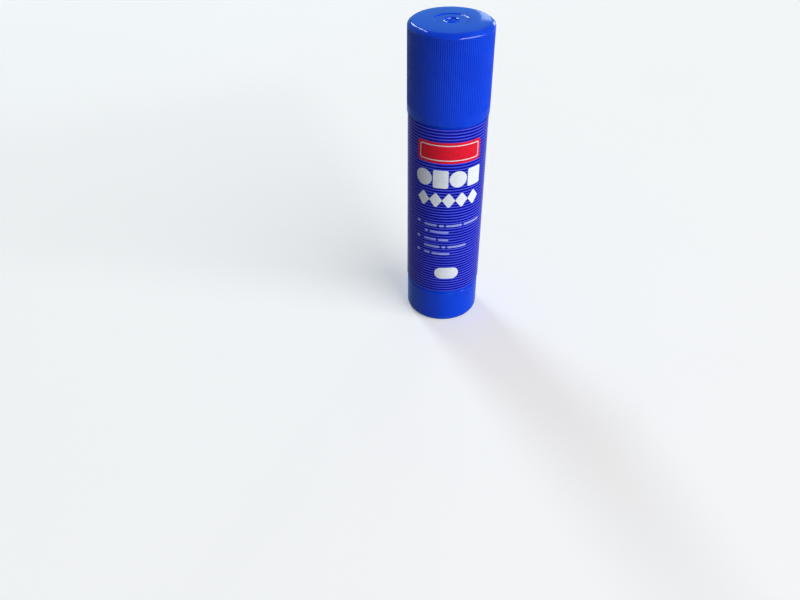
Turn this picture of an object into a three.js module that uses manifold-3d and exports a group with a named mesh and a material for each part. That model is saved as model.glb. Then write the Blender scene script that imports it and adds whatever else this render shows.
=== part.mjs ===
// A capped glue stick, piece by piece, in millimetres and +Z up.
// Its foot stands on z = 0 and its axis is the Z axis.
import * as THREE from "three";
import { mergeVertices } from "three/addons/utils/BufferGeometryUtils.js";
import Module from "manifold-3d";

const wasm = await Module();
wasm.setup();

// Walls and gaps, from the bore that holds the glue outwards
const boreRadius = 10.5;
const tubeWall = 1.0;
const nestingGap = 0.5; // between the inner tube and the barrel round it
const barrelWall = 1.05;
const labelGap = 0.05;
const labelThickness = 0.15;
const gripRibHeight = 0.5; // the ribs inside the cap that hold the neck
const capWall = 1.2;
const clearance = 0.3; // between pieces that touch or slide on the real stick

// Heights, from the foot upwards
const knobHeight = 13.2;
const barrelLength = 65.4;
const capLength = 29.2;
const headroom = 7.1; // from the neck's mouth to the cap's ceiling
const glueSetback = 2.0; // of the glue's face behind the neck's mouth
const skirtReach = 7.0; // of the inner tube down into the knob

// Cap
const capTopWall = 1.3;
const capLipHeight = 2.85; // the plain band at the open edge
const capEdge = 0.3;
const shoulderRadius = 1.4;
const outerRibCount = 128;
const outerRibDepth = 0.22;
const outerRibMargin = 0.3; // from the ribs' top to the shoulder
const gripRibCount = 12;
const gripRibThickness = 0.8;
const gripRibStart = 2.3;
const plugWall = 0.9;
const recessRadius = 5.2;
const recessDepth = 0.25;
const recessSlope = 0.4;
const gateRadius = 2.4;
const gateDepth = 0.35;
const gatePipRadius = 0.7;
const gatePipHeight = 0.3;

// Barrel and label
const barrelEdge = 0.2;
const barrelLipThickness = 1.3; // the inward lip that sits on the inner tube's collar
const barrelLipGap = 0.25;
const labelBaseMargin = 1.1; // of bare barrel that shows above the knob
const labelTopMargin = 0.3;

// Inner tube
const tubeFloor = 1.3;
const tubeEdge = 0.4;
const collarHeight = 0.38;
const collarLength = 1.2;
const neckBeadHeight = 0.15;
const neckBeadLength = 1.2;
const neckBeadLift = 4.0; // of the neck bead above the barrel
const snapHeight = 0.45;
const snapLength = 1.2;
const snapLift = 1.6; // of the snap bead above the skirt's edge
const snapSlope = 0.4;
const railCount = 4;
const railHeight = 0.5;
const railWidth = 1.4;
const railEnd = 3.0; // of plain bore above the rails

// Turning knob
const knobFloor = 1.4;
const knobEdgeRadius = 2.0;
const knobRimEdge = 0.3;
const footRingWidth = 2.2;
const footRecess = 0.5;
const hubRadius = 4.4;
const webCount = 6;
const webThickness = 0.9;
const webGap = 0.6; // under the inner tube's skirt
const socketFloor = 1.5;

// Feed screw
const crestRadius = 3.2;
const rootRadius = 2.3;
const screwLead = 6.0;
const crestWidth = 1.4;
const toothWidth = 2.8;
const threadSpare = 1.3; // of thread above the nut when the glue is right out
const tipChamfer = 1.2;
const flangeRadius = 5.2;
const flangeThickness = 1.6;
const hexRadius = 2.6;
const hexGap = 0.2;

// Carrier
const carrierFloor = 1.3;
const carrierHeight = 8.2;
const carrierWall = 0.8;
const carrierReserve = 2.8; // of the carrier's rim under the neck's mouth, right out
const wiperHeight = 0.25;
const wiperGap = 0.25;
const wiperLength = 0.6;
const wiperSlope = 0.3;
const secondWiper = 3.9;
const nutRadius = 5.0;
const nutLength = 5.0;
const finThickness = 0.8;
const threadGap = 0.25;

// Glue
const glueEdgeRadius = 0.9;
const glueOverScrew = 0.7; // from the screw's tip to the end of the hole in the glue

// Facets
const sides = 48;
const capSides = 64;
const hubSides = 24;
const screwSides = 16;
const sunk = 0.2; // how far joined shapes run into each other

// Radii that follow
const tubeRadius = boreRadius + tubeWall;
const barrelBore = tubeRadius + nestingGap;
const barrelRadius = barrelBore + barrelWall;
const labelBore = barrelRadius + labelGap;
const labelRadius = labelBore + labelThickness;
const capBore = tubeRadius + clearance + gripRibHeight;
const capRadius = capBore + capWall;
const knobBore = tubeRadius + clearance;
const railFace = boreRadius - railHeight;
const screwHole = crestRadius + clearance;
const wiperRadius = boreRadius - wiperGap;
const carrierRadius = wiperRadius - wiperHeight;
const carrierBore = carrierRadius - carrierWall;
const glueRadius = boreRadius - clearance;

// Heights that follow
const barrelBase = knobHeight + clearance;
const barrelTop = barrelBase + barrelLength;
const capBase = barrelTop + clearance;
const neckTop = capBase + capLength - capTopWall - headroom;
const glueTop = neckTop - glueSetback;
const skirtBase = barrelBase - skirtReach;
const flangeBase = knobHeight + clearance;
const tubeFloorBase = flangeBase + flangeThickness + clearance;
const tubeFloorTop = tubeFloorBase + tubeFloor;
const carrierBase = tubeFloorTop + clearance;
const travel = neckTop - carrierReserve - carrierHeight - carrierBase;
const threadTop = carrierBase + nutLength + travel + threadSpare;
const screwBase = footRecess + knobFloor + socketFloor + clearance;
const glueBase = carrierBase + carrierFloor + clearance;

// Points of a round stretch of an outline, from one angle to another in degrees
function arc(radius, centreRadius, centreHeight, from, to, steps) {
  const points = [];
  for (let i = 0; i <= steps; i++) {
    const angle = THREE.MathUtils.degToRad(from + ((to - from) * i) / steps);
    points.push([centreRadius + radius * Math.cos(angle), centreHeight + radius * Math.sin(angle)]);
  }
  return points;
}

// A closed geometry as a solid that can be joined and cut
function solid(geometry) {
  geometry.deleteAttribute("normal");
  geometry.deleteAttribute("uv");
  const merged = mergeVertices(geometry, 1e-4);
  const corners = merged.index.array;
  const kept = [];
  for (let i = 0; i < corners.length; i += 3) {
    const [a, b, c] = corners.subarray(i, i + 3);
    if (a !== b && b !== c && c !== a) kept.push(a, b, c);
  }
  const positions = new Float32Array(merged.attributes.position.array);
  const mesh = new wasm.Mesh({
    numProp: 3,
    vertProperties: positions,
    triVerts: new Uint32Array(kept),
  });
  return new wasm.Manifold(mesh);
}

// A piece turned about the Z axis from an outline of [radius, height] points that runs
// anticlockwise and either starts and ends on the axis or closes on itself
function turned(outline, facets) {
  const points = outline.map(([radius, height]) => new THREE.Vector2(radius, height));
  if (outline[0][0] > 0) points.push(points[0].clone());
  const geometry = new THREE.LatheGeometry(points, facets);
  return solid(geometry.rotateX(Math.PI / 2));
}

// Bars that stand round the axis between two radii and two heights
function bars(count, inner, outer, width, low, high, firstAngle = 0) {
  let joined = null;
  for (let i = 0; i < count; i++) {
    const bar = new THREE.BoxGeometry(outer - inner, width, high - low);
    bar.translate((inner + outer) / 2, 0, (low + high) / 2);
    bar.rotateZ(firstAngle + (2 * Math.PI * i) / count);
    joined = joined ? joined.add(solid(bar)) : solid(bar);
  }
  return joined;
}

function prism(radius, low, high, facets) {
  const geometry = new THREE.CylinderGeometry(radius, radius, high - low, facets);
  geometry.rotateX(Math.PI / 2);
  geometry.translate(0, 0, (low + high) / 2);
  return solid(geometry);
}

// A left-handed single-start screw between two heights, with one flight tooth for each lead.
// Every column of points holds the tooth's four outline points once a turn, and the last
// column meets the first one lead further down.
function screwRod(extra, low, high, phase) {
  const outline = [
    [rootRadius + extra, -toothWidth / 2 - extra],
    [crestRadius + extra, -crestWidth / 2 - extra],
    [crestRadius + extra, crestWidth / 2 + extra],
    [rootRadius + extra, toothWidth / 2 + extra],
  ];
  const firstTurn = Math.floor((low - phase) / screwLead) - 1;
  const turns = Math.ceil((high - low) / screwLead) + 4;
  const rows = outline.length * turns;
  const positions = [];
  for (let column = 0; column < screwSides; column++) {
    const angle = (2 * Math.PI * column) / screwSides;
    for (let row = 0; row < rows; row++) {
      const [radius, offset] = outline[row % outline.length];
      const turn = firstTurn + Math.floor(row / outline.length) - column / screwSides;
      positions.push(radius * Math.cos(angle), radius * Math.sin(angle));
      positions.push(phase + screwLead * turn + offset);
    }
  }
  const last = screwSides - 1;
  const point = (column, row) => column * rows + row;
  const faces = [];
  for (let column = 0; column < screwSides; column++) {
    const next = column === last ? 0 : column + 1;
    const drop = column === last ? outline.length : 0;
    for (let row = drop; row < rows - 1; row++) {
      const [a, b] = [point(column, row), point(next, row - drop)];
      faces.push(a, b, b + 1, a, b + 1, a + 1);
    }
  }
  // The two ends are fans from points on the axis
  const bottomLoop = [];
  const topLoop = [];
  for (let column = 0; column < screwSides; column++) bottomLoop.push(point(column, 0));
  for (let row = 1; row <= outline.length; row++) bottomLoop.push(point(last, row));
  for (let row = rows - 1 - outline.length; row < rows - 1; row++) topLoop.push(point(0, row));
  for (let column = 0; column < screwSides; column++) topLoop.push(point(column, rows - 1));
  const bottomCentre = positions.length / 3;
  positions.push(0, 0, phase + screwLead * (firstTurn - 1));
  positions.push(0, 0, phase + screwLead * (firstTurn + turns));
  bottomLoop.forEach((corner, i) => {
    faces.push(bottomCentre, bottomLoop[(i + 1) % bottomLoop.length], corner);
  });
  topLoop.forEach((corner, i) => {
    faces.push(bottomCentre + 1, corner, topLoop[(i + 1) % topLoop.length]);
  });
  const geometry = new THREE.BufferGeometry();
  geometry.setAttribute("position", new THREE.Float32BufferAttribute(positions, 3));
  geometry.setIndex(faces);
  return solid(geometry);
}

// The pull-off cap, standing on its open edge
function makeCap() {
  const ceiling = capLength - capTopWall;
  const plugBase = glueTop + clearance - capBase;
  const plugRadius = boreRadius - clearance;
  const recessFloor = capLength - recessDepth;
  const gateFloor = recessFloor - gateDepth;
  const shell = turned(
    [
      [0, ceiling],
      [plugRadius - plugWall, ceiling],
      [plugRadius - plugWall, plugBase],
      [plugRadius - capEdge, plugBase],
      [plugRadius, plugBase + capEdge],
      [plugRadius, ceiling],
      [capBore, ceiling],
      [capBore, capEdge],
      [capBore + capEdge, 0],
      [capRadius - capEdge, 0],
      [capRadius, capEdge],
      ...arc(shoulderRadius, capRadius - shoulderRadius, capLength - shoulderRadius, 0, 90, 4),
      [recessRadius + recessSlope, capLength],
      [recessRadius, recessFloor],
      [gateRadius, recessFloor],
      [gateRadius - recessSlope, gateFloor],
      [gatePipRadius, gateFloor],
      [0, gateFloor + gatePipHeight],
    ],
    capSides,
  );
  const gripRibs = bars(
    gripRibCount,
    capBore - gripRibHeight,
    capBore + sunk,
    gripRibThickness,
    gripRibStart,
    ceiling + sunk,
  );
  return shell.add(gripRibs).subtract(outerGrooves());
}

// Everything between the cap's rib tips and a circle outside the cap
function outerGrooves() {
  const ribTop = capLength - shoulderRadius - outerRibMargin;
  const tips = [];
  for (let i = 0; i < 2 * outerRibCount; i++) {
    const radius = i % 2 ? capRadius - outerRibDepth : capRadius;
    const angle = (Math.PI * i) / outerRibCount;
    tips.push(new THREE.Vector2(radius * Math.cos(angle), radius * Math.sin(angle)));
  }
  const ring = new THREE.Shape().absarc(0, 0, capRadius + 1, 0, 2 * Math.PI);
  ring.holes.push(new THREE.Path(tips));
  const depth = ribTop - capLipHeight;
  const geometry = new THREE.ExtrudeGeometry(ring, { depth, bevelEnabled: false, curveSegments: 16 });
  return solid(geometry.translate(0, 0, capLipHeight));
}

// The sleeve that the hand holds, standing on its lower edge
function makeOuterBarrel() {
  const lipRadius = tubeRadius + barrelLipGap;
  return turned(
    [
      [barrelBore, 0],
      [barrelRadius - barrelEdge, 0],
      [barrelRadius, barrelEdge],
      [barrelRadius, barrelLength - barrelEdge],
      [barrelRadius - barrelEdge, barrelLength],
      [lipRadius, barrelLength],
      [lipRadius, barrelLength - barrelLipThickness],
      [barrelBore, barrelLength - barrelLipThickness],
    ],
    sides,
  );
}

function makeLabel() {
  const length = barrelLength - labelBaseMargin - labelTopMargin;
  return turned(
    [
      [labelBore, 0],
      [labelRadius, 0],
      [labelRadius, length],
      [labelBore, length],
    ],
    sides,
  );
}

// The glue tube, with the neck at its top and the snap skirt at its bottom
function makeInnerTube() {
  const snapLow = skirtBase + snapLift;
  const snapHigh = snapLow + snapLength;
  const collarTop = barrelTop - barrelLipThickness - clearance;
  const collarRadius = tubeRadius + collarHeight;
  const beadLow = barrelTop + neckBeadLift;
  const beadHigh = beadLow + neckBeadLength;
  const shell = turned(
    [
      [boreRadius, skirtBase],
      [tubeRadius - tubeEdge, skirtBase],
      [tubeRadius, skirtBase + tubeEdge],
      [tubeRadius, snapLow - snapSlope],
      [tubeRadius + snapHeight, snapLow],
      [tubeRadius + snapHeight, snapHigh],
      [tubeRadius, snapHigh + snapSlope],
      [tubeRadius, barrelBase + clearance],
      [collarRadius, barrelBase + clearance],
      [collarRadius, barrelBase + clearance + collarLength],
      [tubeRadius, barrelBase + clearance + collarLength],
      [tubeRadius, collarTop - collarLength],
      [collarRadius, collarTop - collarLength],
      [collarRadius, collarTop],
      [tubeRadius, collarTop],
      [tubeRadius, beadLow - neckBeadHeight],
      [tubeRadius + neckBeadHeight, beadLow],
      [tubeRadius + neckBeadHeight, beadHigh],
      [tubeRadius, beadHigh + neckBeadHeight],
      [tubeRadius, neckTop - tubeEdge],
      [tubeRadius - tubeEdge, neckTop],
      [boreRadius, neckTop],
      [boreRadius, tubeFloorTop],
      [screwHole, tubeFloorTop],
      [screwHole, tubeFloorBase],
      [boreRadius, tubeFloorBase],
    ],
    sides,
  );
  const rails = bars(
    railCount,
    railFace,
    boreRadius + sunk,
    railWidth,
    tubeFloorTop - sunk,
    neckTop - railEnd,
  );
  return shell.add(rails);
}

// The base that the fingers turn: a cup with a hub for the screw
function makeTurnKnob() {
  const floorTop = footRecess + knobFloor;
  const footOuter = barrelRadius - knobEdgeRadius;
  const footInner = footOuter - footRingWidth;
  const grooveRadius = tubeRadius + snapHeight + clearance;
  const grooveLow = skirtBase + snapLift - clearance;
  const grooveHigh = skirtBase + snapLift + snapLength + clearance;
  const cup = turned(
    [
      [0, footRecess],
      [footInner - footRecess, footRecess],
      [footInner, 0],
      ...arc(knobEdgeRadius, footOuter, knobEdgeRadius, -90, 0, 5),
      [barrelRadius, knobHeight - knobRimEdge],
      [barrelRadius - knobRimEdge, knobHeight],
      [knobBore, knobHeight],
      [knobBore, grooveHigh + snapSlope],
      [grooveRadius, grooveHigh],
      [grooveRadius, grooveLow],
      [knobBore, grooveLow - snapSlope],
      [knobBore, floorTop],
      [0, floorTop],
    ],
    sides,
  );
  const hub = prism(hubRadius, floorTop - sunk, knobHeight, hubSides);
  const webs = bars(
    webCount,
    hubRadius - sunk * 2,
    knobBore + sunk,
    webThickness,
    floorTop - sunk,
    skirtBase - webGap,
  );
  const socket = prism(hexRadius + hexGap, floorTop + socketFloor, knobHeight + 1, 6);
  return cup.add(hub).add(webs).subtract(socket);
}

// The spindle: hexagonal stub, thrust flange, journal and coarse thread
function makeFeedScrew() {
  const flangeTop = flangeBase + flangeThickness;
  const thread = turned(
    [
      [0, tubeFloorBase],
      [crestRadius + tipChamfer, tubeFloorBase],
      [crestRadius + tipChamfer, threadTop - 2 * tipChamfer],
      [crestRadius - tipChamfer, threadTop],
      [0, threadTop],
    ],
    screwSides,
  ).intersect(screwRod(0, tubeFloorBase, threadTop, carrierBase));
  const stub = prism(hexRadius, screwBase, flangeBase + sunk, 6);
  const flange = prism(flangeRadius, flangeBase, flangeTop, hubSides);
  const journal = prism(crestRadius, flangeTop - sunk, tubeFloorTop, screwSides);
  return thread.add(journal).add(flange).add(stub);
}

// The cup and nut that lift the glue
function makeCarrier() {
  const high = carrierBase + carrierHeight;
  const floorTop = carrierBase + carrierFloor;
  const wiper = (low) => [
    [carrierRadius, low],
    [wiperRadius, low + wiperSlope],
    [wiperRadius, low + wiperSlope + wiperLength],
    [carrierRadius, low + 2 * wiperSlope + wiperLength],
  ];
  const cup = turned(
    [
      [0, carrierBase],
      ...wiper(carrierBase),
      ...wiper(carrierBase + secondWiper),
      [carrierRadius, high],
      [carrierBore, high],
      [carrierBore, floorTop],
      [0, floorTop],
    ],
    sides,
  );
  const nut = prism(nutRadius, floorTop - sunk, carrierBase + nutLength, hubSides);
  const fins = bars(
    railCount,
    nutRadius - sunk * 2,
    carrierBore + sunk,
    finThickness,
    floorTop - sunk,
    carrierBase + nutLength,
    Math.PI / railCount,
  );
  const thread = screwRod(threadGap, carrierBase - 1, carrierBase + nutLength + 1, carrierBase);
  return cup.add(nut).add(fins).subtract(thread).subtract(railGrooves(carrierBase, high));
}

// Slots that let the carrier and the glue pass along the tube's rails
function railGrooves(low, high) {
  return bars(railCount, railFace - clearance, boreRadius, railWidth + 2 * clearance, low - 1, high + 1);
}

// The glue as it is cast: over the nut and fins, round the screw and inside the carrier
function makeGlue() {
  const boreTop = threadTop + glueOverScrew;
  const nutTop = carrierBase + nutLength + clearance;
  const rim = carrierBase + carrierHeight + clearance;
  const cupRadius = carrierBore - clearance;
  const body = turned(
    [
      [0, boreTop],
      [screwHole, boreTop],
      [screwHole, nutTop],
      [nutRadius + clearance, nutTop],
      [nutRadius + clearance, glueBase],
      [cupRadius, glueBase],
      [cupRadius, rim],
      [glueRadius, rim],
      ...arc(glueEdgeRadius, glueRadius - glueEdgeRadius, glueTop - glueEdgeRadius, 0, 90, 3),
      [0, glueTop],
    ],
    sides,
  );
  const finSlots = bars(
    railCount,
    nutRadius,
    carrierBore,
    finThickness + 2 * clearance,
    glueBase - 1,
    nutTop,
    Math.PI / railCount,
  );
  return body.subtract(finSlots).subtract(railGrooves(rim, glueTop));
}

// A named mesh from a solid, with its plain finish
function piece(name, shape, color, roughness, metalness = 0) {
  const { vertProperties, triVerts } = shape.getMesh();
  const geometry = new THREE.BufferGeometry();
  geometry.setAttribute("position", new THREE.BufferAttribute(vertProperties, 3));
  geometry.setIndex(new THREE.BufferAttribute(triVerts, 1));
  geometry.computeVertexNormals();
  const material = new THREE.MeshStandardMaterial({ color, roughness, metalness });
  const mesh = new THREE.Mesh(geometry, material);
  mesh.name = name;
  return mesh;
}

const blue = 0x0a35c8;
const navy = 0x060a90;
const white = 0xeeeeea;
const glueWhite = 0xf3f1e4;

const glueStick = new THREE.Group();

// What the hand holds
const barrelGroup = new THREE.Group();
const outerBarrel = piece("outer_barrel", makeOuterBarrel(), blue, 0.25);
outerBarrel.position.z = barrelBase;
const label = piece("label", makeLabel(), navy, 0.2);
label.position.z = barrelBase + labelBaseMargin;
barrelGroup.add(outerBarrel, label, piece("inner_tube", makeInnerTube(), white, 0.4));

// What turns
const knobGroup = new THREE.Group();
knobGroup.add(piece("turn_knob", makeTurnKnob(), blue, 0.25));
knobGroup.add(piece("feed_screw", makeFeedScrew(), white, 0.45));

// What rises
const carrierGroup = new THREE.Group();
carrierGroup.add(piece("carrier", makeCarrier(), white, 0.45));
carrierGroup.add(piece("glue", makeGlue(), glueWhite, 0.55));

// What pulls off
const cap = piece("cap", makeCap(), blue, 0.22);
cap.position.z = capBase;

glueStick.add(barrelGroup, knobGroup, carrierGroup, cap);

export default glueStick;
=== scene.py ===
import cmath
import math

import bpy
import numpy as np
from mathutils import Matrix, Vector


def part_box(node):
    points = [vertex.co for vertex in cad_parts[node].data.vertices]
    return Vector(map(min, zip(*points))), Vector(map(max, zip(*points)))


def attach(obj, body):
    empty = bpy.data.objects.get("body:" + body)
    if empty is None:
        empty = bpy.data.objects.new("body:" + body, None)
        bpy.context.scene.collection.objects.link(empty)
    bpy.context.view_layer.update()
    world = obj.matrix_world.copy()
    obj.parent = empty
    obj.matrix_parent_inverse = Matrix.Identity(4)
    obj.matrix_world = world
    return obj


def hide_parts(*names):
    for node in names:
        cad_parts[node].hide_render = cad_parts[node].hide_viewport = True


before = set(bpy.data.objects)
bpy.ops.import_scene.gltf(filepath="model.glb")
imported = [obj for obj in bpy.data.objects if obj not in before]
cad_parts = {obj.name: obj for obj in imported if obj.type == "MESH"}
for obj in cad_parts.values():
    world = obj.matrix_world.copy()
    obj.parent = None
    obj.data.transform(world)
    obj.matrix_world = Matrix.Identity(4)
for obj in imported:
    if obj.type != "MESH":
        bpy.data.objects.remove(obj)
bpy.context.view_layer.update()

# Lengths below are in millimetres, like the CAD; MM turns them into Blender's metres
MM = 0.001


def span(node):
    """Outer radius, lowest height and highest height of a CAD node."""
    low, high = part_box(node)
    return high.x / MM, low.z / MM, high.z / MM


# Sizes that come from the frame
cap_radius, cap_low, cap_high = span("cap")
barrel_radius, barrel_low, barrel_high = span("outer_barrel")
label_radius, label_low, label_high = span("label")
knob_radius, foot, knob_high = span("turn_knob")
glue_radius, glue_low, glue_high = span("glue")
_, skirt_low, neck_high = span("inner_tube")
_, carrier_low, carrier_high = span("carrier")
_, _, screw_high = span("feed_screw")

# Walls and details inside those outlines. They follow the CAD, but the ribs on the cap are
# shallower, and the ramps that soften the ends and sides of bars are only here.
clearance = 0.3

cap_wall = 1.2
cap_top_wall = 1.3
cap_lip = 2.85
shoulder_height = 1.4
reed_count = 128
reed_depth = 0.14
reed_ramp = 0.25
reed_margin = 0.3
grip_count = 12
grip_height = 0.5
grip_width = 0.8
grip_ramp = 0.12
grip_start = 2.3
plug_radius = 10.2
plug_wall = 0.9
recess_radius = 5.2
recess_depth = 0.25
recess_slope = 0.42

bore_radius = 10.5
tube_radius = 11.5
sleeve_bore = 12.0
sleeve_lip = 11.75
sleeve_lip_thickness = 1.3
film_thickness = 0.15
collar_height = 0.38
collar_length = 1.2
bead_height = 0.15
bead_length = 1.2
bead_lift = 4.0
snap_height = 0.45
snap_length = 1.2
snap_lift = 1.6
snap_slope = 0.4
rail_count = 4
rail_height = 0.5
rail_width = 1.4
rail_ramp = 0.1
rail_end = 3.0
tube_floor = 1.3

knob_floor = 1.9
foot_recess = 0.5
foot_width = 2.2
foot_edge = 2.0
hub_radius = 4.4
socket_radius = 2.8
socket_floor = 3.4

screw_hole = 3.5
screw_room = 0.7
nut_hole = 5.3
nut_length = 5.0
cup_hole = 8.9
slot_ramp = 0.15
slot_fade = 0.3
glue_edge = 0.9

# Small forms of the cap's top: its crown, then the gate mark's rim, dimple and torn nub
top_inset = 1.9
top_crown = 0.15
crown_shares = (0.2, 0.35, 0.5, 0.7, 0.85)
gate_radius = 2.3
gate_rim = 0.22
gate_slope = 0.385
gate_draft = 0.125
gate_depth = 0.3
pip_radius = 0.9
pip_taper = 0.55
pip_height = 0.32
pip_dome = 0.02
tear_height = 0.06

# Corners of the cap's bevelled shoulder: inset from the wall, drop from the top, fillet
shoulder_corners = (
    (0, 1.48, 0.06),
    (0.22, 0.98, 0.3),
    (0.95, 0.42, 0.5),
    (1.45, top_crown, 0.25),
)

# The dished top of the glue: radius and depth
glue_dish = ((7.6, 0.02), (6.0, 0.12), (4.2, 0.24), (2.2, 0.32), (0, 0.35))

# That top was poured, which left a broad and a fine wave of these heights. They reach
# wave_depth down, rise over wave_rise from the axis and fall over wave_fall to the edge.
broad_wave = 0.05
fine_wave = 0.03
wave_depth = 1.0
wave_rise = 4.0
wave_fall = 2.0

# The film's two ends overlap at one side of the barrel
lap_start = math.radians(10)
lap_width = math.radians(32)
lap_ramp = math.radians(5)
lap_height = 0.05

# Degrees of bend for each step of a fillet, how far from an edge its wear reaches, and how
# many times as long a run has to be before it gets a row where the wear ends
fillet_step = 13.0
wear_reach = 0.45
wear_room = 6

# Columns of points for each rib of the cap
reed_columns = 8

# Edges that bend by more degrees than this stay sharp; the cap's shallow forms need less
sharp_edge = 35
cap_sharp_edge = 22

# A length that counts as nothing when heights are compared
touch = 0.01


# Meshes


def rounded(corners):
    """Rows (radius, height, wear) of an outline from its corners (radius, height, fillet).

    The outline runs anticlockwise, with the material on its left. A fillet that turns
    left is an outer edge, and outer edges wear. A long straight run gets a row near the
    fillet, where the wear ends.
    """
    rows = []
    places = [complex(radius, height) for radius, height, _ in corners]
    for i, (here, (_, _, fillet)) in enumerate(zip(places, corners)):
        if not fillet:
            rows.append((here.real, here.imag, 0.0))
            continue
        before = places[i - 1]
        after = places[(i + 1) % len(places)]
        along = (here - before) / abs(here - before)
        onward = (after - here) / abs(after - here)
        bend = cmath.phase(onward / along)
        reach = fillet * math.tan(abs(bend) / 2)
        side = along * math.copysign(1, bend) * 1j
        centre = here - along * reach + side * fillet
        steps = max(2, round(math.degrees(abs(bend)) / fillet_step))
        arc = [centre - side * fillet * cmath.rect(1, bend * k / steps) for k in range(steps + 1)]
        long_run = reach + wear_reach * wear_room
        if abs(here - before) > long_run:
            start = here - along * (reach + wear_reach)
            rows.append((start.real, start.imag, 0.0))
        rows += [(point.real, point.imag, float(bend > 0)) for point in arc]
        if abs(after - here) > long_run:
            end = here + onward * (reach + wear_reach)
            rows.append((end.real, end.imag, 0.0))
    return np.array(rows)


def mesh_object(name, points, faces, crease=sharp_edge):
    """A smooth-shaded object from points in millimetres, with edges sharper than crease kept."""
    mesh = bpy.data.meshes.new(name)
    mesh.from_pydata((np.asarray(points) * MM).tolist(), [], faces)
    mesh.shade_smooth()
    mesh.set_sharp_from_angle(angle=math.radians(crease))
    made = bpy.data.objects.new(name, mesh)
    bpy.context.scene.collection.objects.link(made)
    return made


def mark(piece, name, values):
    """Stores one number for each point of a piece, for its material to read."""
    attribute = piece.data.attributes.new(name, "FLOAT", "POINT")
    attribute.data.foreach_set("value", np.asarray(values, dtype=np.float32))


def turned(name, rows, columns, closed=False, shape=None, crease=sharp_edge):
    """A piece turned about Z from outline rows that run anticlockwise.

    A closed outline joins its last row to its first; an open one starts and ends on the
    axis. shape(radius, height, angle) moves the points.
    """
    angle = np.linspace(0, 2 * math.pi, columns, endpoint=False)
    radius = np.repeat(rows[:, :1], columns, axis=1)
    height = np.repeat(rows[:, 1:2], columns, axis=1)
    if shape:
        radius, height = shape(radius, height, angle)
    around = np.stack([radius * np.cos(angle), radius * np.sin(angle), height], axis=2)
    points = []
    index = []
    wear = []
    for row, ring in zip(rows, around):
        ring = ring[:1] if row[0] == 0 else ring
        index.append(len(points) + np.arange(columns) % len(ring))
        points.extend(ring)
        wear.extend([row[2]] * len(ring))
    faces = []
    for i in range(len(rows) if closed else len(rows) - 1):
        low = index[i].tolist()
        high = index[(i + 1) % len(rows)].tolist()
        for j in range(columns):
            k = (j + 1) % columns
            if low[j] == low[k]:
                faces.append((low[j], high[k], high[j]))
            elif high[j] == high[k]:
                faces.append((low[j], low[k], high[j]))
            else:
                faces.append((low[j], low[k], high[k], high[j]))
    piece = mesh_object(name, points, faces, crease)
    mark(piece, "wear", wear)
    return piece


def between(value, low, high, ramp):
    """One between low and high, falling to nothing over ramp inside both ends."""
    return np.clip((value - low) / ramp, 0, 1) * np.clip((high - value) / ramp, 0, 1)


def spaced(angle, count, width, radius, ramp):
    """One on count bars of that width round a circle, with sloping sides."""
    pitch = 2 * math.pi / count
    from_bar = np.abs((angle + pitch / 2) % pitch - pitch / 2) * radius
    return np.clip((width / 2 + ramp - from_bar) / ramp, 0, 1)


# The pieces


def make_cap():
    """The cap, with its ribs, shoulder, recess and gate mark, and its plug ring and grips."""
    ceiling = cap_high - cap_top_wall
    bore = cap_radius - cap_wall
    plug_low = glue_high + clearance
    plug_bore = plug_radius - plug_wall
    reeds_low = cap_low + cap_lip
    reeds_high = cap_high - shoulder_height - reed_margin
    grips_low = cap_low + grip_start
    recess_edge = recess_radius + recess_slope
    flat_edge = cap_radius - top_inset
    recess_floor = cap_high - recess_depth
    gate_floor = recess_floor - gate_depth
    shoulder = [
        (cap_radius - inset, cap_high - drop, fillet) for inset, drop, fillet in shoulder_corners
    ]
    crown = []
    for share in crown_shares:
        radius = flat_edge + (recess_edge - flat_edge) * share
        crown.append((radius, cap_high - top_crown * (1 - share) ** 2, 0))
    corners = [
        (0, ceiling, 0),
        (plug_bore, ceiling, 0.4),
        (plug_bore, plug_low, 0.25),
        (plug_radius, plug_low, 0.35),
        (plug_radius, ceiling, 0.4),
        (bore, ceiling, 0.6),
        (bore, grips_low + grip_height, 0),
        (bore, grips_low, 0),
        (bore, cap_low, 0.35),
        (cap_radius, cap_low, 0.3),
        (cap_radius, reeds_low, 0),
        (cap_radius, reeds_low + reed_ramp, 0),
        (cap_radius, reeds_high - reed_ramp, 0),
        (cap_radius, reeds_high, 0),
        *shoulder,
        *crown,
        (recess_edge, cap_high, 0),
        (recess_radius, recess_floor, 0),
        (gate_radius + gate_slope, recess_floor, 0),
        (gate_radius, recess_floor + gate_rim, 0),
        (gate_radius - gate_slope, recess_floor, 0),
        (gate_radius - gate_slope - gate_draft, gate_floor, 0),
        (pip_radius, gate_floor, 0),
        (pip_radius - pip_taper, gate_floor + pip_height, 0),
        (0, gate_floor + pip_height + pip_dome, 0),
    ]

    def shape(radius, height, angle):
        reed = 1 - np.abs(np.cos(angle * reed_count / 2))
        outside = np.isclose(radius, cap_radius) * between(height, reeds_low, reeds_high, reed_ramp)
        inside = np.isclose(radius, bore) * np.clip((height - grips_low) / grip_height, 0, 1)
        grip = spaced(angle, grip_count, grip_width, bore, grip_ramp)
        torn = (height > gate_floor + pip_height / 2) * (radius < pip_radius)
        height = height + torn * tear_height * np.sin(3 * angle + 0.6)
        return radius - outside * reed_depth * reed - inside * grip_height * grip, height

    columns = reed_count * reed_columns
    return turned("cap_shell", rounded(corners), columns, shape=shape, crease=cap_sharp_edge)


def make_sleeve():
    """The blue sleeve round the tube."""
    lip_low = barrel_high - sleeve_lip_thickness
    corners = [
        (sleeve_bore, barrel_low, 0.15),
        (barrel_radius, barrel_low, 0.2),
        (barrel_radius, barrel_high, 0.3),
        (sleeve_lip, barrel_high, 0.2),
        (sleeve_lip, lip_low, 0.1),
        (sleeve_bore, lip_low, 0.1),
    ]
    return turned("barrel_sleeve", rounded(corners), columns=256, closed=True)


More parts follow.
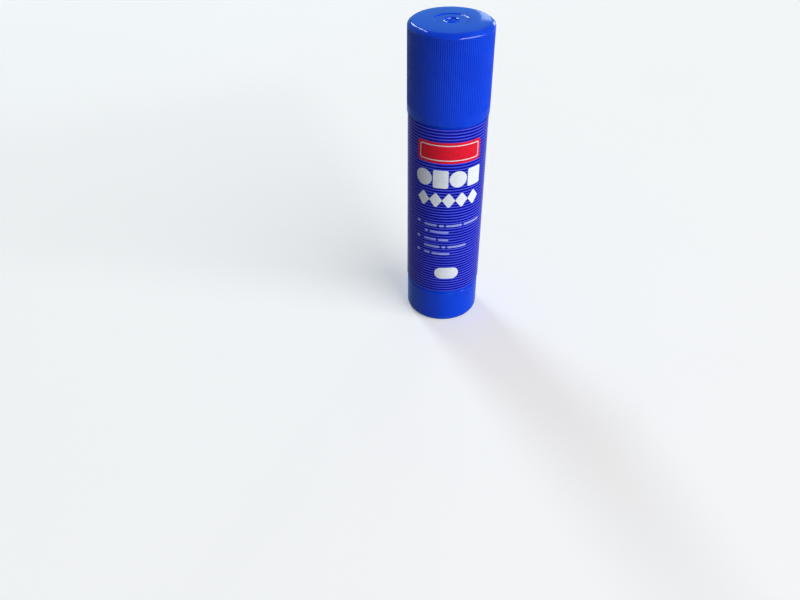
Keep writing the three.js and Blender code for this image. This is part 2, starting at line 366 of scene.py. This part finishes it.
def film_lap(angle):
    """How far round the angle lies on the overlap: one on it, nothing elsewhere."""
    past = (angle - lap_start) % (2 * math.pi)
    return np.clip((lap_width - past) / lap_ramp, 0, 1)


def make_film():
    """The label's film, raised where its ends overlap."""
    inner = label_radius - film_thickness
    corners = [
        (inner, label_low, 0),
        (label_radius, label_low, 0.05),
        (label_radius, label_high, 0.05),
        (inner, label_high, 0),
    ]
    columns = 720
    rows = rounded(corners)

    def shape(radius, height, angle):
        outside = radius > label_radius - film_thickness / 2
        return radius + outside * lap_height * film_lap(angle), height

    film = turned("label_film", rows, columns, closed=True, shape=shape)
    angle = np.linspace(0, 2 * math.pi, columns, endpoint=False)
    mark(film, "lap", np.tile(film_lap(angle), len(rows)))
    return film


def make_tube():
    """The inner tube, with its snap, collars, neck bead, floor and rails."""
    snap_low = skirt_low + snap_lift
    snap_high = snap_low + snap_length
    collar = tube_radius + collar_height
    low_collar = barrel_low + clearance
    high_collar = barrel_high - sleeve_lip_thickness - clearance
    bead_low = barrel_high + bead_lift
    bead_high = bead_low + bead_length
    bead = tube_radius + bead_height
    floor_high = carrier_low - clearance
    rail_high = neck_high - rail_end
    corners = [
        (bore_radius, skirt_low, 0.2),
        (tube_radius, skirt_low, 0.4),
        (tube_radius, snap_low - snap_slope, 0.1),
        (tube_radius + snap_height, snap_low, 0.15),
        (tube_radius + snap_height, snap_high, 0.15),
        (tube_radius, snap_high + snap_slope, 0.1),
        (tube_radius, low_collar, 0.1),
        (collar, low_collar, 0.1),
        (collar, low_collar + collar_length, 0.1),
        (tube_radius, low_collar + collar_length, 0.1),
        (tube_radius, high_collar - collar_length, 0.1),
        (collar, high_collar - collar_length, 0.1),
        (collar, high_collar, 0.1),
        (tube_radius, high_collar, 0.1),
        (tube_radius, bead_low - bead_height, 0.1),
        (bead, bead_low, 0.15),
        (bead, bead_high, 0.15),
        (tube_radius, bead_high + bead_height, 0.1),
        (tube_radius, neck_high, 0.4),
        (bore_radius, neck_high, 0.25),
        (bore_radius, rail_high, 0),
        (bore_radius, rail_high - rail_height, 0),
        (bore_radius, floor_high, 0),
        (screw_hole, floor_high, 0.15),
        (screw_hole, floor_high - tube_floor, 0.15),
        (bore_radius, floor_high - tube_floor, 0.2),
    ]

    def shape(radius, height, angle):
        below_end = np.clip((rail_high - height) / rail_height, 0, 1)
        above_floor = height > floor_high - touch
        on_rail = np.isclose(radius, bore_radius) * below_end * above_floor
        rail = spaced(angle, rail_count, rail_width, bore_radius, rail_ramp)
        return radius - on_rail * rail_height * rail, height

    return turned("tube_shell", rounded(corners), columns=480, closed=True, shape=shape)


def make_knob():
    """The turning base, with its foot, snap groove, and hub with a hexagonal socket."""
    rim = knob_high
    bore = tube_radius + clearance
    groove = bore + snap_height
    groove_low = skirt_low + snap_lift - clearance
    groove_high = groove_low + snap_length + 2 * clearance
    foot_outer = knob_radius - foot_edge
    foot_inner = foot_outer - foot_width
    corners = [
        (0, foot_recess, 0),
        (foot_inner - foot_recess, foot_recess, 0.3),
        (foot_inner, foot, 0.3),
        (knob_radius, foot, foot_edge),
        (knob_radius, rim, 0.3),
        (bore, rim, 0.2),
        (bore, groove_high + snap_slope, 0.1),
        (groove, groove_high, 0.1),
        (groove, groove_low, 0.1),
        (bore, groove_low - snap_slope, 0.1),
        (bore, knob_floor, 0.5),
        (hub_radius, knob_floor, 0.3),
        (hub_radius, rim, 0.2),
        (socket_radius, rim, 0.2),
        (socket_radius, socket_floor, 0.2),
        (0, socket_floor, 0),
    ]

    def shape(radius, height, angle):
        from_flat = (angle + math.pi / 6) % (math.pi / 3) - math.pi / 6
        hexagon = math.cos(math.pi / 6) / np.cos(from_flat)
        in_socket = np.isclose(radius, socket_radius)
        return np.where(in_socket, radius * hexagon, radius), height

    return turned("knob_shell", rounded(corners), columns=288, shape=shape)


def make_glue():
    """The glue, hollow for the screw and the carrier's nut, with slots for the rails."""
    nut_high = carrier_low + nut_length + clearance
    cup_rim = carrier_high + clearance
    screw_end = screw_high + screw_room
    slot_depth = rail_height
    slot_width = rail_width + 2 * clearance
    corners = [
        (0, screw_end, 0),
        (screw_hole, screw_end, 0.3),
        (screw_hole, nut_high, 0.2),
        (nut_hole, nut_high, 0.2),
        (nut_hole, glue_low, 0.2),
        (cup_hole, glue_low, 0.2),
        (cup_hole, cup_rim, 0.2),
        (glue_radius, cup_rim, 0.2),
        (glue_radius, glue_high, glue_edge),
        *((radius, glue_high - depth, 0) for radius, depth in glue_dish),
    ]

    def shape(radius, height, angle):
        skin = np.clip((radius - glue_radius + slot_fade) / slot_fade, 0, 1)
        skin = skin * (height > cup_rim - touch)
        slot = spaced(angle, rail_count, slot_width, glue_radius, slot_ramp)
        poured = (height > glue_high - wave_depth) * (radius < glue_radius)
        wave = broad_wave * np.sin(2 * angle + 0.8) + fine_wave * np.sin(5 * angle + radius)
        wave = wave * np.clip(radius / wave_rise, 0, 1)
        wave = wave * np.clip((glue_radius - radius) / wave_fall, 0, 1)
        return radius - skin * slot_depth * slot, height + poured * wave

    return turned("glue_stick_core", rounded(corners), columns=480, shape=shape)


# Printed marks on the label


def rectangle(half_width, half_height, corner):
    """Half width of a round-cornered rectangle, and its half height away from its middle."""

    def edge(x):
        past = np.maximum(np.abs(x) - (half_width - corner), 0)
        return half_height - corner + np.sqrt(np.maximum(corner**2 - past**2, 0))

    return half_width, edge


def disc(radius):
    return rectangle(radius, radius, radius)


def diamond(half_width, half_height):
    return half_width, lambda x: half_height * (1 - np.abs(x) / half_width)


# Ink lies in layers: how far the first is from the film, the thickness that each adds, how
# far each reaches into the next, and the least half height, at the tips of a mark
ink_lift = 0.004
ink_thickness = 0.012
ink_overlap = 0.002
ink_tip = 0.01

# A mark's columns for each millimetre of its half width, and the fewest that it has
ink_columns = 5
ink_fewest = 10


def printed(name, marks, layer):
    """Thin closed areas of ink that follow the film, from marks (angle, height, outline).

    Angles are in degrees from the printed front, towards +X. The print comes twice, on
    opposite sides of the barrel.
    """
    inner = label_radius + ink_thickness * (layer - 1) + ink_lift
    outer = label_radius + ink_thickness * layer + ink_lift + ink_overlap
    points = []
    faces = []
    for turn in (0, 180):
        for angle, height, (half_width, edge) in marks:
            columns = max(ink_fewest, round(half_width * ink_columns))
            x = half_width * np.sin(np.linspace(-math.pi / 2, math.pi / 2, columns + 1))
            reach = np.maximum(edge(x), ink_tip)
            around = math.radians(angle + turn - 90) + x / label_radius
            for theta, half in zip(around, reach):
                base = len(points)
                for radius, z in ((inner, -half), (outer, -half), (outer, half), (inner, half)):
                    points.append((radius * math.cos(theta), radius * math.sin(theta), height + z))
                # The first column closes the mark's end, and the others join the one before
                if theta == around[0]:
                    faces.append((base, base + 1, base + 2, base + 3))
                    continue
                for p, q in ((0, 1), (1, 2), (2, 3), (3, 0)):
                    faces.append((base - 4 + p, base + p, base + q, base - 4 + q))
            faces.append((base + 3, base + 2, base + 1, base))
    return mesh_object(name, points, faces)


def degrees_of(length):
    """The angle that a length takes up round the label."""
    return math.degrees(length / label_radius)


# The panel, and its thin frame, which is a pale area with a smaller red one on it. Its place
# is an angle and a height.
panel_place = (2.4, 70.2)
panel = rectangle(11.3, 3.7, 1.3)
border = rectangle(10.3, 2.75, 0.7)
inset = rectangle(10.0, 2.45, 0.45)


def row_of(outlines, centre, height, pitch):
    """Marks side by side in one row."""
    first = -(len(outlines) - 1) / 2
    return [
        (centre + degrees_of(pitch * (first + i)), height, outline)
        for i, outline in enumerate(outlines)
    ]


def bold_marks():
    """Two rows of plain bold shapes and an empty pill."""
    block = rectangle(2.6, 3.3, 0.6)
    upper = row_of([disc(3.0), block, disc(3.0), block], centre=3.2, height=60.7, pitch=5.95)
    lower = row_of([diamond(2.25, 3.0)] * 5, centre=3.0, height=52.75, pitch=4.45)
    pill = [(3.8, 22.7, rectangle(4.3, 2.4, 2.3))]
    return upper + lower + pill


def small_marks():
    """Rows of short bars of uneven length, some of them after a dot."""
    half_height = 0.42
    corner = 0.3
    gap = 0.75
    # Height, angle at which the row starts and the lengths of its bars
    rows = [
        (42.7, -33, (4.6, 1.7, 5.6, 6.8)),
        (40.1, -32, (1.2, 6.6)),
        (37.0, -33, (4.4, 3.6)),
        (34.0, -33, (5.8, 1.2, 7.0)),
        (31.1, -33, (2.2, 6.4)),
    ]
    marks = []
    for height, start, lengths in rows:
        angle = start
        for length in lengths:
            bar = rectangle(length / 2, half_height, corner)
            marks.append((angle + degrees_of(length / 2), height, bar))
            angle += degrees_of(length + gap)
    dot = disc(0.62)
    dots = [(-43, height, dot) for height in (43.2, 37.0, 31.3)]
    return marks + dots


# Materials


class Finish:
    """A material whose nodes are added by short calls. Lengths in its nodes are in metres."""

    def __init__(self, name, **sockets):
        self.material = bpy.data.materials.new(name)
        self.material.use_nodes = True
        self.tree = self.material.node_tree
        self.shader = self.tree.nodes["Principled BSDF"]
        for socket, value in sockets.items():
            self.shader.inputs[socket.replace("_", " ")].default_value = value
        self.place = self.add("ShaderNodeTexCoord", output="Object")

    def add(self, kind, inputs=(), output=0, **settings):
        """Adds a node and returns one of its outputs; a socket given as an input is linked."""
        node = self.tree.nodes.new(kind)
        for key, value in settings.items():
            setattr(node, key, value)
        for key, value in dict(inputs).items():
            if isinstance(value, bpy.types.NodeSocket):
                self.tree.links.new(value, node.inputs[key])
            else:
                node.inputs[key].default_value = value
        return node.outputs[output]

    def noise(self, size, detail, stretch=(1, 1, 1)):
        """Noise from 0 to 1 with blobs of about that size in millimetres."""
        place = self.add("ShaderNodeMapping", {"Vector": self.place, "Scale": stretch})
        inputs = {"Vector": place, "Scale": 1 / (size * MM), "Detail": detail}
        return self.add("ShaderNodeTexNoise", inputs)

    def attribute(self, name):
        return self.add("ShaderNodeAttribute", output="Fac", attribute_name=name)

    def remap(self, value, low, high, to_low=0.0, to_high=1.0):
        """value from low..high to to_low..to_high, smoothly and without passing either end."""
        names = ("Value", "From Min", "From Max", "To Min", "To Max")
        inputs = dict(zip(names, (value, low, high, to_low, to_high)))
        return self.add("ShaderNodeMapRange", inputs, interpolation_type="SMOOTHSTEP")

    def math(self, operation, a, b):
        return self.add("ShaderNodeMath", {0: a, 1: b}, operation=operation)

    def mix(self, factor, a, b):
        """Colour a where factor is 0 and b where it is 1."""
        return self.add("ShaderNodeMix", {0: factor, 6: a, 7: b}, output=2, data_type="RGBA")

    def bump(self, height, distance, under=None):
        """A normal from heights of that distance in millimetres, on top of another normal."""
        inputs = {"Height": height, "Distance": distance * MM, "Strength": 1.0}
        if under:
            inputs["Normal"] = under
        return self.add("ShaderNodeBump", inputs)

    def drive(self, socket, value):
        self.tree.links.new(value, self.shader.inputs[socket])


def colour(red, green, blue):
    """An opaque colour from its sRGB values, 0 to 255."""
    values = [channel / 255 for channel in (red, green, blue)]
    return (*[v / 12.92 if v < 0.04045 else ((v + 0.055) / 1.055) ** 2.4 for v in values], 1.0)


def blue_plastic():
    """Glossy moulded polypropylene, scuffed a little on its edges."""
    finish = Finish(
        "blue_polypropylene",
        Specular_IOR_Level=0.003,
        Coat_Weight=0.22,
        Coat_Roughness=0.07,
        Sheen_Weight=0.28,
        Sheen_Tint=(0, 0.75, 0.65, 1),
        Sheen_Roughness=0.4,
    )
    mottle = finish.remap(finish.noise(9, 3), 0.3, 0.7)
    body = finish.mix(mottle, colour(0, 59, 219), colour(0, 65, 226))
    scratches = finish.noise(0.35, 4, stretch=(1, 1, 0.06))
    rubbed = finish.remap(finish.noise(4, 3), 0.5, 0.7)
    scuff = finish.math("MULTIPLY", finish.attribute("wear"), rubbed)
    pale = finish.math("MULTIPLY", scuff, 0.12)
    finish.drive("Base Color", finish.mix(pale, body, colour(66, 122, 240)))
    smudge = finish.remap(finish.noise(14, 3), 0.4, 0.7, 0.1, 0.16)
    rough = finish.math("ADD", smudge, finish.remap(scratches, 0.55, 0.8, 0.0, 0.06))
    finish.drive("Roughness", finish.math("ADD", rough, finish.math("MULTIPLY", scuff, 0.08)))
    skin = finish.bump(finish.noise(2.5, 1), 0.01)
    scratched = finish.bump(scratches, 0.001, skin)
    finish.drive("Normal", scratched)
    finish.drive("Coat Normal", scratched)
    return finish.material


# The film's light lines: their pitch, their share of it, the soft edge's share, the height
# of the lowest one's middle, how far they are off at the overlap, and how uneven they are
line_pitch = 1.075
line_share = 0.37
line_blur = 0.04
line_start = label_low + 0.12
line_slip = 0.22
line_jitter = 0.03

film_gloss = {"Specular_IOR_Level": 0.01, "Coat_Weight": 0.08, "Coat_Roughness": 0.07}


def ripple(finish):
    """Gives a finish the film's uneven gloss and faint ripples."""
    finish.drive("Roughness", finish.remap(finish.noise(11, 4), 0.35, 0.7, 0.1, 0.18))
    wide = finish.bump(finish.noise(9, 1), 0.04)
    fine = finish.bump(finish.noise(0.5, 3), 0.0015, wide)
    finish.drive("Normal", fine)
    finish.drive("Coat Normal", fine)


def label_film():
    """Glossy dark blue film with fine light lines all the way round."""
    finish = Finish("striped_label_film", **film_gloss)
    split = finish.add("ShaderNodeSeparateXYZ", {"Vector": finish.place}, output="Z")
    slip = finish.math("MULTIPLY", finish.attribute("lap"), line_slip * MM)
    jitter = finish.math("MULTIPLY", finish.noise(3, 2), line_jitter * MM)
    height = finish.math("ADD", finish.math("ADD", split, slip), jitter)
    above = finish.math("SUBTRACT", height, line_start * MM)
    step = finish.math("DIVIDE", above, line_pitch * MM)
    # Zero in the middle of a light line and half in the middle of a dark one
    from_line = finish.math("PINGPONG", step, 0.5)
    edge = line_share / 2
    line = finish.remap(from_line, edge + line_blur, edge - line_blur)
    patches = finish.remap(finish.noise(5, 4), 0.3, 0.7)
    dark = finish.mix(patches, colour(0, 3, 145), colour(1, 5, 154))
    light = finish.mix(patches, colour(72, 84, 246), colour(80, 94, 250))
    finish.drive("Base Color", finish.mix(line, dark, light))
    ripple(finish)
    return finish.material


def ink(name, deep, pale):
    """Printed ink under the film's gloss, a little uneven."""
    finish = Finish(name, **film_gloss)
    patches = finish.remap(finish.noise(1.1, 5), 0.3, 0.7)
    finish.drive("Base Color", finish.mix(patches, deep, pale))
    ripple(finish)
    return finish.material


def white_plastic():
    """Natural polypropylene, semi-matt and slightly cloudy."""
    finish = Finish("natural_polypropylene", Specular_IOR_Level=0.4, Subsurface_Weight=0.2)
    finish.shader.inputs["Subsurface Scale"].default_value = 1.2 * MM
    flow = finish.remap(finish.noise(6, 4, stretch=(1, 1, 0.35)), 0.3, 0.7)
    body = finish.mix(flow, colour(226, 226, 218), colour(238, 238, 232))
    rubbed = finish.remap(finish.noise(0.8, 3), 0.45, 0.7)
    scuff = finish.math("MULTIPLY", finish.attribute("wear"), rubbed)
    worn = finish.math("MULTIPLY", scuff, 0.35)
    finish.drive("Base Color", finish.mix(worn, body, colour(205, 205, 194)))
    finish.drive("Roughness", finish.remap(finish.noise(4, 4), 0.3, 0.7, 0.38, 0.52))
    skin = finish.bump(finish.noise(0.9, 3), 0.01)
    finish.drive("Normal", finish.bump(finish.noise(0.12, 2), 0.003, skin))
    return finish.material


def glue_wax():
    """The glue itself: waxy, slightly translucent, with the small pits of a cast surface."""
    finish = Finish("waxy_glue", Specular_IOR_Level=0.45, Subsurface_Weight=0.55)
    finish.shader.inputs["Subsurface Scale"].default_value = 2.5 * MM
    finish.shader.inputs["Subsurface Radius"].default_value = (1.0, 0.92, 0.75)
    cloud = finish.remap(finish.noise(5, 4), 0.3, 0.7)
    finish.drive("Base Color", finish.mix(cloud, colour(232, 229, 214), colour(242, 240, 230)))
    finish.drive("Roughness", finish.remap(finish.noise(2.2, 4), 0.35, 0.7, 0.34, 0.55))
    pits = finish.add(
        "ShaderNodeTexVoronoi",
        {"Vector": finish.place, "Scale": 1 / (1.1 * MM), "Randomness": 1.0},
        output="Distance",
    )
    pitted = finish.bump(finish.remap(pits, 0.02, 0.16), 0.02)
    finish.drive("Normal", finish.bump(finish.noise(2.4, 4), 0.08, pitted))
    return finish.material


def seen(tree):
    """One for rays that show the surroundings: from the camera, in gloss and through glass."""
    path = tree.nodes.new("ShaderNodeLightPath")
    total = path.outputs["Is Camera Ray"]
    for name in ("Is Glossy Ray", "Is Transmission Ray"):
        larger = tree.nodes.new("ShaderNodeMath")
        larger.operation = "MAXIMUM"
        tree.links.new(total, larger.inputs[0])
        tree.links.new(path.outputs[name], larger.inputs[1])
        total = larger.outputs[0]
    return total


backdrop_colour = colour(216, 234, 250)

# Distances in metres from the object at which the floor starts and ends its fading, and how
# much it shines near the object, so that it is seen nearly white
fade_start = 0.42
fade_end = 1.0
floor_glow = 0.3


def floor_paint():
    """Pale and matt, whiter where it is seen, and fading into the backdrop far away."""
    finish = Finish("pale_floor", Specular_IOR_Level=0.0, Roughness=0.8)
    shown = seen(finish.tree)
    away = finish.add(
        "ShaderNodeVectorMath", {0: finish.place}, output="Value", operation="LENGTH"
    )
    far = finish.math("MULTIPLY", finish.remap(away, fade_start, fade_end), shown)
    pale = finish.mix(finish.noise(60, 3), colour(228, 226, 226), colour(231, 229, 229))
    near = finish.mix(shown, colour(128, 128, 131), pale)
    finish.drive("Base Color", finish.mix(far, near, colour(0, 0, 0)))
    finish.drive("Emission Color", finish.mix(far, colour(255, 255, 255), backdrop_colour))
    glow = finish.add("ShaderNodeMix", {0: far, 2: floor_glow, 3: 1.0}, data_type="FLOAT")
    finish.drive("Emission Strength", finish.math("MULTIPLY", shown, glow))
    return finish.material


# Dressing the frame


def dress(piece, material, body, slot, *nodes):
    """Gives a piece its finish and the body it rides on, and hides the CAD nodes it stands for;
    slot is not used.
    """
    piece.data.materials.append(material)
    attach(piece, body)
    if nodes:
        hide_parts(*nodes)


blue = blue_plastic()
white = white_plastic()
film = label_film()

dress(make_cap(), blue, "cap", "blue_plastic", "cap")
dress(make_sleeve(), blue, "barrel", "blue_plastic", "outer_barrel")
dress(make_film(), film, "barrel", "label_film", "label")
dress(make_tube(), white, "barrel", "white_plastic", "inner_tube")
dress(make_knob(), blue, "knob", "blue_plastic", "turn_knob")
dress(make_glue(), glue_wax(), "carrier", "glue_solid", "glue")

red_ink = ink("red_ink", colour(225, 24, 49), colour(237, 33, 57))
pale_ink = ink("pale_ink", colour(229, 237, 248), colour(240, 246, 252))
faint_ink = ink("faint_ink", colour(148, 158, 240), colour(164, 174, 247))
dress(printed("print_panel", [(*panel_place, panel)], 1), red_ink, "barrel", "label_film")
dress(printed("print_border", [(*panel_place, border)], 2), pale_ink, "barrel", "label_film")
dress(printed("print_inset", [(*panel_place, inset)], 3), red_ink, "barrel", "label_film")
dress(printed("print_shapes", bold_marks(), 1), pale_ink, "barrel", "label_film")
dress(printed("print_bars", small_marks(), 1), faint_ink, "barrel", "label_film")

# These two keep the CAD's shape and get a better material
for node in ("carrier", "feed_screw"):
    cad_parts[node].material_slots[0].material = white


# Camera, floor and light


def add_camera():
    """The photograph's viewpoint, found from its perspective. Angles are in radians."""
    picture_width = 800
    focal_pixels = 763.7
    place = Vector((-9.786, -232.788, 186.319)) * MM
    pitch, yaw, roll = 0.6758, -0.0271, -0.0062
    forward = Vector(
        (math.sin(yaw) * math.cos(pitch), math.cos(yaw) * math.cos(pitch), -math.sin(pitch))
    )
    right = forward.cross(Vector((0, 0, 1))).normalized()
    up = right.cross(forward)
    tilted_right = right * math.cos(roll) + up * math.sin(roll)
    tilted_up = up * math.cos(roll) - right * math.sin(roll)
    data = bpy.data.cameras.new("camera")
    data.sensor_width = 36
    data.lens = focal_pixels * data.sensor_width / picture_width
    data.clip_start = 0.01
    data.clip_end = 20
    camera = bpy.data.objects.new("camera", data)
    turn = Matrix((tilted_right, tilted_up, -forward)).transposed()
    camera.matrix_world = Matrix.Translation(place) @ turn.to_4x4()
    bpy.context.scene.collection.objects.link(camera)
    bpy.context.scene.camera = camera


# What the lamps are aimed at, in metres
middle = Vector((0, 0, 0.06))


def add_lamp(name, place, size, power, along, tint=(1, 1, 1)):
    """A soft oblong lamp, in metres and watts, that faces the middle of the object.

    Its length, the first number of its size, lies along a direction. tint is its colour.
    """
    data = bpy.data.lights.new(name, "AREA")
    data.shape = "RECTANGLE"
    data.size, data.size_y = size
    data.energy = power
    data.color = tint
    back = (Vector(place) - middle).normalized()
    across = back.cross(Vector(along)).normalized()
    turn = Matrix((across.cross(back), across, back)).transposed()
    lamp = bpy.data.objects.new(name, data)
    lamp.visible_camera = False
    lamp.matrix_world = Matrix.Translation(Vector(place)) @ turn.to_4x4()
    bpy.context.scene.collection.objects.link(lamp)


def add_floor():
    """A square floor, in metres."""
    half = 3.0
    mesh = bpy.data.meshes.new("floor")
    corners = [(-half, -half, 0), (half, -half, 0), (half, half, 0), (-half, half, 0)]
    mesh.from_pydata(corners, [], [(0, 1, 2, 3)])
    mesh.materials.append(floor_paint())
    floor = bpy.data.objects.new("floor", mesh)
    bpy.context.scene.collection.objects.link(floor)


def add_world(strength):
    """A plain room that gives the given light and is seen as the pale backdrop."""
    world = bpy.data.worlds.new("studio")
    world.use_nodes = True
    tree = world.node_tree
    room = tree.nodes["Background"]
    room.inputs["Color"].default_value = (1, 1, 1, 1)
    room.inputs["Strength"].default_value = strength
    backdrop = tree.nodes.new("ShaderNodeBackground")
    backdrop.inputs["Color"].default_value = backdrop_colour
    blend = tree.nodes.new("ShaderNodeMixShader")
    tree.links.new(seen(tree), blend.inputs[0])
    tree.links.new(room.outputs[0], blend.inputs[1])
    tree.links.new(backdrop.outputs[0], blend.inputs[2])
    tree.links.new(blend.outputs[0], tree.nodes["World Output"].inputs["Surface"])
    bpy.context.scene.world = world


add_camera()
add_floor()
add_world(strength=0.132)

daylight = (0.72, 0.93, 1)
level = (1, 0, 0)

# Lights the right side, and is the line along the front of the shoulder
add_lamp(
    "key",
    place=(2.13, -1.605, 1.23),
    size=(3.3, 0.3),
    power=102,
    along=(0.606, 0.753, -0.213),
)
# A strip that shows as the crescent on the left of the shoulder and the glints in the recess
add_lamp(
    "side",
    place=(-0.64, 1.08, 1.09),
    size=(1.15, 0.08),
    power=9.6,
    along=(-0.02, -0.67, 0.74),
    tint=daylight,
)
# The small glint at the right end of the shoulder
add_lamp("back", place=(1.05, 2, 0.38), size=(0.4, 0.45), power=5, along=level)
# The pale patch on the top, at the back on the right
add_lamp("card", place=(0.34, 2, 0.65), size=(0.27, 0.24), power=1.4, along=level, tint=daylight)
# Lights the back on the left
add_lamp("fill", place=(-1.7, 0.9, 0.6), size=(1.4, 0.8), power=2, along=(0.468, 0.884, 0))

scene = bpy.context.scene
scene.view_settings.view_transform = "Standard"
